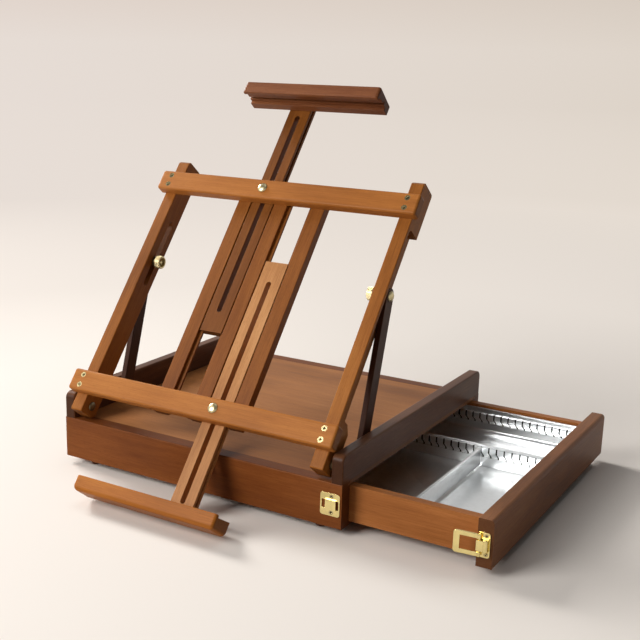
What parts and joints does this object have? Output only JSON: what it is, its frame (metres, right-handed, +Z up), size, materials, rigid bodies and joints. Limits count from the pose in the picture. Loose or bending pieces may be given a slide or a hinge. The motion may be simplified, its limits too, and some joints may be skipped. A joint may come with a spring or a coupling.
{
  "type": "table box easel",
  "caption": "Wooden table box easel: a shallow box with a side drawer and metal tray, and a folding frame with sliding canvas clamp and ledge.",
  "frame": {"origin": "on the surface that the feet stand on, under the centre of the box", "axes": "+X to the right along the front of the box, towards the drawer; +Y to the back; +Z up"},
  "size_m": [0.6031, 0.524, 0.4993],
  "materials": {
    "stained_beech": "satin walnut stain on beech",
    "light_beech": "satin, paler stain on beech",
    "table_veneer": "satin stained veneer",
    "polished_brass": "polished",
    "tinplate": "bright tinned sheet"
  },
  "bodies": {
    "box": {"front_panel": "stained_beech", "back_panel": "stained_beech", "left_end_panel": "stained_beech", "table_top": "table_veneer", "bottom_panel": "stained_beech", "feet": "stained_beech", "right_side_rail": "stained_beech", "left_side_rail": "stained_beech", "frame_pivot_bolts": "polished_brass", "frame_pivot_spacers": "polished_brass", "strut_pivot_screws": "polished_brass", "strut_pivot_spacers": "polished_brass", "hook_plate": "polished_brass", "hook_plate_screws": "polished_brass"},
    "drawer": {"drawer_front": "stained_beech", "drawer_near_side": "stained_beech", "drawer_far_side": "stained_beech", "drawer_end": "stained_beech", "drawer_bottom": "stained_beech", "metal_tray": "tinplate", "long_divider": "tinplate", "latch_base": "polished_brass", "latch_screws": "polished_brass", "latch_lever_pin": "polished_brass"},
    "cross_divider": {"cross_divider": "tinplate"},
    "latch_lever": {"latch_lever": "polished_brass", "latch_bail_pin": "polished_brass"},
    "latch_bail": {"latch_bail": "polished_brass"},
    "easel_frame": {"right_post": "stained_beech", "left_post": "stained_beech", "top_crossbar": "stained_beech", "bottom_crossbar": "stained_beech", "crossbar_screws": "polished_brass", "left_guide_rail": "stained_beech", "centre_guide_rail": "stained_beech", "right_guide_rail": "stained_beech", "guide_rail_screws": "polished_brass", "clamp_bolts": "polished_brass", "clamp_washers": "polished_brass"},
    "upper_mast": {"upper_mast": "stained_beech", "canvas_clamp": "stained_beech", "canvas_clamp_screws": "polished_brass"},
    "lower_mast": {"lower_mast": "light_beech", "canvas_ledge": "light_beech", "canvas_ledge_dowels": "light_beech"},
    "top_clamp_nut": {"top_clamp_nut": "polished_brass"},
    "bottom_clamp_nut": {"bottom_clamp_nut": "polished_brass"},
    "right_strut": {"right_strut": "stained_beech", "right_strut_bolt": "polished_brass", "right_strut_washer": "polished_brass"},
    "left_strut": {"left_strut": "stained_beech", "left_strut_bolt": "polished_brass", "left_strut_washer": "polished_brass"},
    "right_thumb_nut": {"right_thumb_nut": "polished_brass"},
    "left_thumb_nut": {"left_thumb_nut": "polished_brass"}
  },
  "joints": [
    {"name": "drawer_slide", "type": "slide", "parent": "box", "child": "drawer", "axis": [1, 0, 0], "range_m": [-0.1646, 0.12]},
    {"name": "divider_lift", "type": "slide", "parent": "drawer", "child": "cross_divider", "axis": [0, 0, 1], "range_m": [0, 0.01]},
    {"name": "latch_lever_swing", "type": "hinge", "parent": "drawer", "child": "latch_lever", "pos_m": [0.3859, -0.2135, 0.0382], "axis": [0, 0, 1], "range_deg": [0, 120]},
    {"name": "latch_bail_swing", "type": "hinge", "parent": "latch_lever", "child": "latch_bail", "pos_m": [0.3789, -0.2135, 0.0382], "axis": [0, 0, 1], "range_deg": [-5, 100]},
    {"name": "easel_lean", "type": "hinge", "parent": "box", "child": "easel_frame", "pos_m": [0, -0.1995, 0.08295], "axis": [1, 0, 0], "range_deg": [-51.5, 6.5]},
    {"name": "upper_mast_slide", "type": "slide", "parent": "easel_frame", "child": "upper_mast", "axis": [0, 0.6225, 0.7826], "range_m": [-0.115, 0.165]},
    {"name": "lower_mast_slide", "type": "slide", "parent": "easel_frame", "child": "lower_mast", "axis": [0, 0.6225, 0.7826], "range_m": [-0.004, 0.1]},
    {"name": "top_clamp_nut_turn", "type": "hinge", "parent": "easel_frame", "child": "top_clamp_nut", "pos_m": [-0.0282, 0.01035, 0.34677], "axis": [0, -0.7826, 0.6225], "continuous": true},
    {"name": "bottom_clamp_nut_turn", "type": "hinge", "parent": "easel_frame", "child": "bottom_clamp_nut", "pos_m": [0.0282, -0.1835, 0.10306], "axis": [0, -0.7826, 0.6225], "continuous": true},
    {"name": "right_strut_swing", "type": "hinge", "parent": "box", "child": "right_strut", "pos_m": [0, -0.1135, 0.08295], "axis": [1, 0, 0], "range_deg": [-72.7, 9.2]},
    {"name": "left_strut_swing", "type": "hinge", "parent": "box", "child": "left_strut", "pos_m": [0, -0.1135, 0.08295], "axis": [1, 0, 0], "range_deg": [-72.7, 9.2]},
    {"name": "right_thumb_nut_turn", "type": "hinge", "parent": "right_strut", "child": "right_thumb_nut", "pos_m": [0, -0.06157, 0.25634], "axis": [1, 0, 0], "continuous": true},
    {"name": "left_thumb_nut_turn", "type": "hinge", "parent": "left_strut", "child": "left_thumb_nut", "pos_m": [0, -0.06157, 0.25634], "axis": [1, 0, 0], "continuous": true}
  ],
  "couplings": [
    {"joint": "right_strut_swing", "follows": "easel_lean", "ratio": 1.411},
    {"joint": "left_strut_swing", "follows": "easel_lean", "ratio": 1.411}
  ]
}
